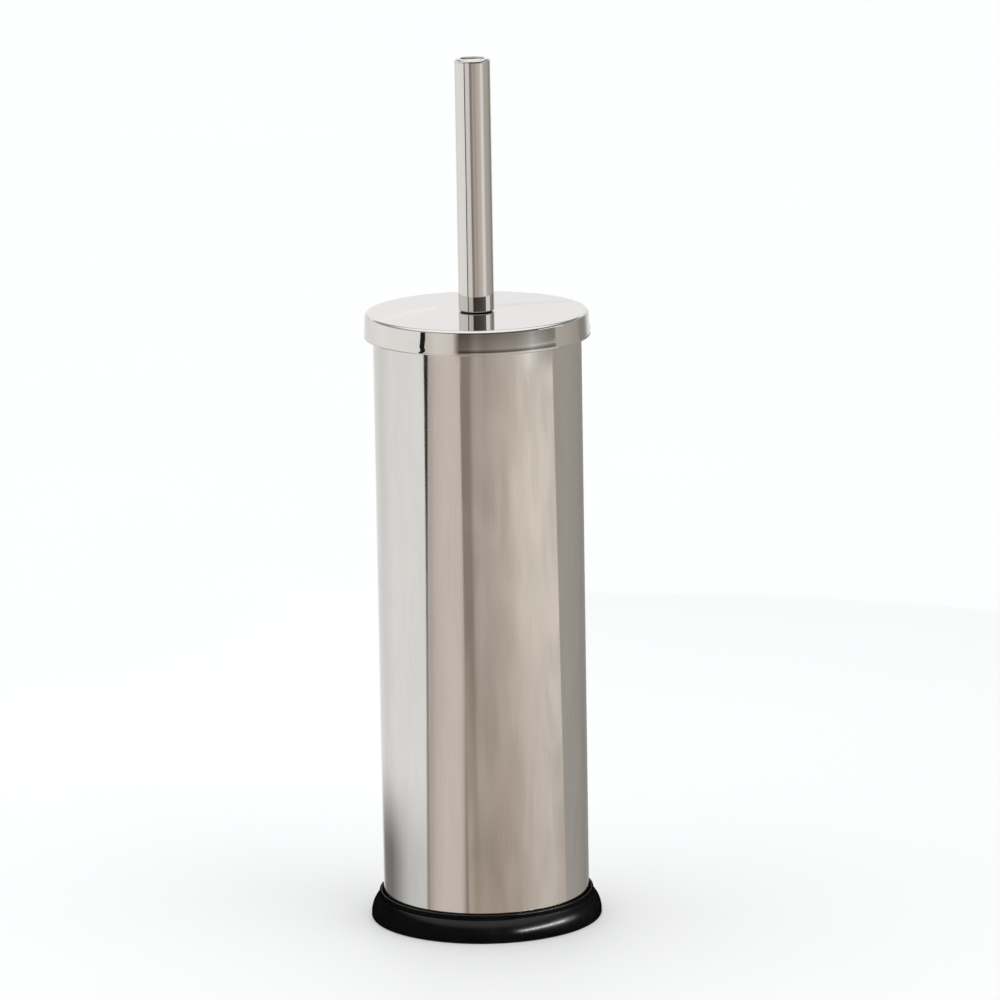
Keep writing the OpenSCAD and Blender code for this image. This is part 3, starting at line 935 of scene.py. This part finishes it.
def glow_material(name, ends, z_range=(0.0, 1.0)):
    """Plain glow that runs from one colour to another over a range of heights."""
    material = bpy.data.materials.new(name)
    material.use_nodes = True
    tree = material.node_tree
    tree.nodes.clear()
    coords = tree.nodes.new("ShaderNodeTexCoord")
    xyz = tree.nodes.new("ShaderNodeSeparateXYZ")
    tree.links.new(coords.outputs["Object"], xyz.inputs["Vector"])
    rise = tree.nodes.new("ShaderNodeMapRange")
    rise.inputs["From Min"].default_value = z_range[0]
    rise.inputs["From Max"].default_value = z_range[1]
    tree.links.new(xyz.outputs["Z"], rise.inputs["Value"])
    mix = tree.nodes.new("ShaderNodeMix")
    mix.data_type = "RGBA"
    tree.links.new(rise.outputs["Result"], mix.inputs["Factor"])
    for socket, colour in zip([s for s in mix.inputs if s.type == "RGBA"], ends):
        socket.default_value = (*[c / RAMP_TOP for c in colour], 1)
    glow = tree.nodes.new("ShaderNodeEmission")
    glow.inputs["Strength"].default_value = RAMP_TOP
    tree.links.new([s for s in mix.outputs if s.type == "RGBA"][0], glow.inputs["Color"])
    out = tree.nodes.new("ShaderNodeOutputMaterial")
    tree.links.new(glow.outputs[0], out.inputs["Surface"])
    return material


def tent_material(name, stops, uneven=0.0, low_stops=None, corner_stops=None, lean=0.0):
    """Glow by compass direction, with long uneven folds; it may change or dim towards the floor."""
    material = bpy.data.materials.new(name)
    material.use_nodes = True
    tree = material.node_tree
    tree.nodes.clear()
    coords = tree.nodes.new("ShaderNodeTexCoord")
    mapping = tree.nodes.new("ShaderNodeMapping")
    mapping.inputs["Scale"].default_value = (3.5, 3.5, 22)
    tree.links.new(coords.outputs["Object"], mapping.inputs["Vector"])
    folds = tree.nodes.new("ShaderNodeTexNoise")
    folds.inputs["Scale"].default_value = 1.0
    folds.inputs["Detail"].default_value = 3.0
    folds.inputs["Distortion"].default_value = 1.2
    tree.links.new(mapping.outputs["Vector"], folds.inputs["Vector"])
    strength = tree.nodes.new("ShaderNodeMapRange")
    strength.inputs["From Min"].default_value = 0.3
    strength.inputs["From Max"].default_value = 0.7
    strength.inputs["To Min"].default_value = RAMP_TOP * (1 - uneven)
    strength.inputs["To Max"].default_value = RAMP_TOP * (1 + uneven)
    tree.links.new(folds.outputs["Fac"], strength.inputs["Value"])
    xyz = tree.nodes.new("ShaderNodeSeparateXYZ")
    tree.links.new(coords.outputs["Object"], xyz.inputs["Vector"])

    def fall(start, end, kind):
        """A factor that grows from 0 to 1 between two heights, downwards."""
        node = tree.nodes.new("ShaderNodeMapRange")
        node.interpolation_type = kind
        node.inputs["From Min"].default_value = start
        node.inputs["From Max"].default_value = end
        tree.links.new(xyz.outputs["Z"], node.inputs["Value"])
        return node.outputs["Result"]

    def blend(factor, a, b, kind="MIX"):
        """Colour b over colour a, by a factor."""
        node = tree.nodes.new("ShaderNodeMix")
        node.data_type = "RGBA"
        node.blend_type = kind
        tree.links.new(factor, node.inputs["Factor"])
        for socket, value in zip([s for s in node.inputs if s.type == "RGBA"], (a, b)):
            tree.links.new(value, socket)
        return [s for s in node.outputs if s.type == "RGBA"][0]

    colour = azimuth_ramp(tree, coords.outputs["Object"], stops, lean=lean)
    if low_stops:
        low_colour = azimuth_ramp(tree, coords.outputs["Object"], low_stops)
        colour = blend(fall(*LOW_FALL, "LINEAR"), colour, low_colour)
    if corner_stops:
        kept = [(degrees, tuple(1 - dim for dim in dims)) for degrees, dims in corner_stops]
        keep = azimuth_ramp(tree, coords.outputs["Object"], kept, 1.0)
        colour = blend(fall(*CORNER_FALL, "SMOOTHSTEP"), colour, keep, "MULTIPLY")
    glow = tree.nodes.new("ShaderNodeEmission")
    tree.links.new(strength.outputs["Result"], glow.inputs["Strength"])
    tree.links.new(colour, glow.inputs["Color"])
    out = tree.nodes.new("ShaderNodeOutputMaterial")
    tree.links.new(glow.outputs[0], out.inputs["Surface"])
    return material


def make_tent():
    """Light tent round the object: plain cloths, with a gap, a dim corner and a window strip."""
    side = tent_material("side_cloth", SIDE_STOPS, 0.03, corner_stops=CORNER_STOPS, lean=GAP_LEAN)
    upright("tent_side", *SIDE_SPAN, TENT_FOOT, UPPER_Z, side)
    upper = tent_material("upper_cloth", UPPER_STOPS, 0.01)
    upright("tent_upper", *UPPER_SPAN, UPPER_Z, TENT_H, upper)
    front = tent_material("front_cloth", FRONT_STOPS, 0.12, low_stops=FRONT_LOW_STOPS)
    upright("tent_front", *FRONT_SPAN, TENT_FOOT, FRONT_H, front, lean=FRONT_LEAN, inset=0.004)
    dark = glow_material("cloth_gap", ((0.46, 0.42, 0.38), (0.02, 0.02, 0.02)), (-0.06, 0.10))
    # Height and half width, in metres and degrees, of the gap from its foot up
    gap = [(-0.60, 2.4), (-0.16, 2.2), (-0.06, 1.7), (0.0, 1.3), (0.06, 1.5), (0.12, 2.1), (0.15, 2.7)]
    gap += [(GAP_STRAIGHT_Z, 2.7), (TENT_H, 2.7)]
    middle = [GAP_AZIMUTH + GAP_LEAN * min(z, GAP_STRAIGHT_Z) for z, _ in gap]
    left = [(a - w, z) for a, (z, w) in zip(middle, gap)]
    right = [(a + w, z) for a, (z, w) in zip(middle, gap)]
    cloth("tent_gap", left, right, dark, 0.01)
    strip = glow_material("window_strip", (WINDOW, WINDOW))
    sill = [(64, 0.33), (80, 0.33), (97, 0.33)]
    cloth("window_strip", sill, [(a, 0.47) for a, _ in sill], strip, 0.03)
    light = glow_material("fold_light", (LIT_FOLD, LIT_FOLD))
    shade = glow_material("fold_shade", (SHADED_FOLD, SHADED_FOLD))
    for name, fold, material in (
        ("fold_left", [(185.1, 0.3876), (183.4, 0.3822), (182.0, 0.3798)], light),
        ("fold_right", [(179.5, 0.3798), (177.4, 0.3783), (175.2, 0.3771)], shade),
    ):
        cloth(name, fold, [(a, z + 0.0004) for a, z in fold], material, 0.005)


def rise_ramp(tree, height, stops):
    """A factor that depends on how steeply a direction rises; stops are (degrees, factor)."""
    place = tree.nodes.new("ShaderNodeMapRange")
    place.inputs["From Min"].default_value = -1.0
    tree.links.new(height, place.inputs["Value"])
    ramp = tree.nodes.new("ShaderNodeValToRGB")
    elements = ramp.color_ramp.elements
    elements.remove(elements[-1])
    for k, (degrees, factor) in enumerate(stops):
        position = 0.5 + 0.5 * math.sin(math.radians(degrees))
        element = elements[0] if k == 0 else elements.new(position)
        element.position = position
        element.color = (factor / 2, factor / 2, factor / 2, 1)
    tree.links.new(place.outputs["Result"], ramp.inputs["Fac"])
    doubled = tree.nodes.new("ShaderNodeMath")
    doubled.operation = "MULTIPLY"
    doubled.inputs[1].default_value = 2.0
    tree.links.new(ramp.outputs["Color"], doubled.inputs[0])
    return doubled.outputs[0]


def make_world():
    """Soft studio: bright overhead, a darker room low down beyond the tent's open front."""
    world = bpy.data.worlds.new("studio")
    bpy.context.scene.world = world
    world.use_nodes = True
    tree = world.node_tree
    tree.nodes.clear()
    coords = tree.nodes.new("ShaderNodeTexCoord")
    room = azimuth_ramp(tree, coords.outputs["Generated"], ROOM_STOPS)
    xyz = tree.nodes.new("ShaderNodeSeparateXYZ")
    tree.links.new(coords.outputs["Generated"], xyz.inputs["Vector"])
    scaled = tree.nodes.new("ShaderNodeVectorMath")
    scaled.operation = "SCALE"
    tree.links.new(room, scaled.inputs[0])
    front = tree.nodes.new("ShaderNodeMix")
    tree.links.new(azimuth_ramp(tree, coords.outputs["Generated"], ROOM_FRONT, 1.0), front.inputs["Factor"])
    tree.links.new(rise_ramp(tree, xyz.outputs["Z"], ROOM_BACK_RISE), front.inputs["A"])
    tree.links.new(rise_ramp(tree, xyz.outputs["Z"], ROOM_RISE), front.inputs["B"])
    tree.links.new(front.outputs["Result"], scaled.inputs["Scale"])
    rise = tree.nodes.new("ShaderNodeMapRange")
    rise.interpolation_type = "SMOOTHSTEP"
    rise.inputs["From Min"].default_value = math.sin(math.radians(36))
    rise.inputs["From Max"].default_value = math.sin(math.radians(54))
    tree.links.new(xyz.outputs["Z"], rise.inputs["Value"])
    mix = tree.nodes.new("ShaderNodeMix")
    mix.data_type = "RGBA"
    tree.links.new(rise.outputs["Result"], mix.inputs["Factor"])
    a, b = [s for s in mix.inputs if s.type == "RGBA"]
    tree.links.new(scaled.outputs[0], a)
    b.default_value = (*[c / RAMP_TOP for c in SKY], 1)
    lit = tree.nodes.new("ShaderNodeBackground")
    lit.inputs["Strength"].default_value = RAMP_TOP
    tree.links.new([s for s in mix.outputs if s.type == "RGBA"][0], lit.inputs["Color"])
    seen = tree.nodes.new("ShaderNodeBackground")
    seen.inputs["Color"].default_value = (0.93, 0.93, 0.93, 1)
    path = tree.nodes.new("ShaderNodeLightPath")
    pick = tree.nodes.new("ShaderNodeMixShader")
    tree.links.new(path.outputs["Is Camera Ray"], pick.inputs["Fac"])
    tree.links.new(lit.outputs[0], pick.inputs[1])
    tree.links.new(seen.outputs[0], pick.inputs[2])
    out = tree.nodes.new("ShaderNodeOutputWorld")
    tree.links.new(pick.outputs[0], out.inputs["Surface"])


def make_floor():
    """A large pale floor with the slightest mottling."""
    radius, steps = 9.0, 64
    corners = [(radius * math.cos(2 * math.pi * i / steps), radius * math.sin(2 * math.pi * i / steps), 0.0)
               for i in range(steps)]
    mesh = bpy.data.meshes.new("floor")
    mesh.from_pydata(corners, [], [tuple(range(steps))])
    floor = link("floor", mesh)
    n = Nodes("pale_floor")
    n.set(Roughness=0.6)
    n.set(Specular_IOR_Level=0.2)
    n.join(n.mix(n.noise(3), (0.85, 0.86, 0.87), (0.87, 0.88, 0.89)), n.shader.inputs["Base Color"])
    floor.data.materials.append(n.material)
    floor.visible_glossy = False


def soft_box(name, azimuth, elevation, distance, size, radiance, piece):
    """An oblong soft box, of width and height in size, that only shows as a highlight on one piece."""
    a, e = math.radians(azimuth), math.radians(elevation)
    away = Vector((math.sin(a) * math.cos(e), -math.cos(a) * math.cos(e), math.sin(e)))
    lamp = bpy.data.objects.new(name, bpy.data.lights.new(name, "AREA"))
    lamp.data.shape = "RECTANGLE"
    lamp.data.size, lamp.data.size_y = size
    lamp.data.energy = radiance * math.pi * size[0] * size[1]
    lamp.location = away * distance
    lamp.rotation_mode = "QUATERNION"
    lamp.rotation_quaternion = away.to_track_quat("Z", "Y")
    lamp.visible_diffuse = False
    lamp.light_linking.receiver_collection = linked(name, piece)
    bpy.context.scene.collection.objects.link(lamp)


def even_light(name, strength, spread, azimuth=0.0, elevation=90.0):
    """Light from one side of the studio, spread over so many degrees, which mirrors don't show."""
    a, e = math.radians(azimuth), math.radians(elevation)
    away = Vector((math.sin(a) * math.cos(e), -math.cos(a) * math.cos(e), math.sin(e)))
    lamp = bpy.data.objects.new(name, bpy.data.lights.new(name, "SUN"))
    lamp.data.energy = strength
    lamp.data.angle = math.radians(spread)
    lamp.rotation_mode = "QUATERNION"
    lamp.rotation_quaternion = away.to_track_quat("Z", "Y")
    lamp.visible_glossy = False
    bpy.context.scene.collection.objects.link(lamp)


make_world()
make_tent()
make_floor()
even_light("overhead", 0.3, 150)
even_light("window_side", 0.45, 50, 60, 48)
soft_box("window_right", 64, 21, 1.0, (1.15, 0.06), 75.0, foot_ring)


# ---------------------------------------------------------------- camera

CAMERA_DISTANCE = 2.698
CAMERA_ELEVATION = math.radians(12.18)
CAMERA_ROLL = math.radians(0.994)
CAMERA_AIM = Vector((0, 0, 0.1858))
CAMERA_LENS = 224.3

camera = bpy.data.objects.new("camera", bpy.data.cameras.new("camera"))
bpy.context.scene.collection.objects.link(camera)
camera.data.lens = CAMERA_LENS
camera.data.sensor_width = 36.0
camera.data.shift_x = 0.0202
camera.data.shift_y = -0.0014
camera.data.clip_end = 50.0
back = Vector((0, -math.cos(CAMERA_ELEVATION), math.sin(CAMERA_ELEVATION)))
camera.location = CAMERA_AIM + back * CAMERA_DISTANCE
level = back.to_track_quat("Z", "Y").to_matrix()
camera.rotation_mode = "QUATERNION"
camera.rotation_quaternion = (level @ Matrix.Rotation(-CAMERA_ROLL, 3, "Z")).to_quaternion()
bpy.context.scene.camera = camera
bpy.context.scene.view_settings.view_transform = "Standard"
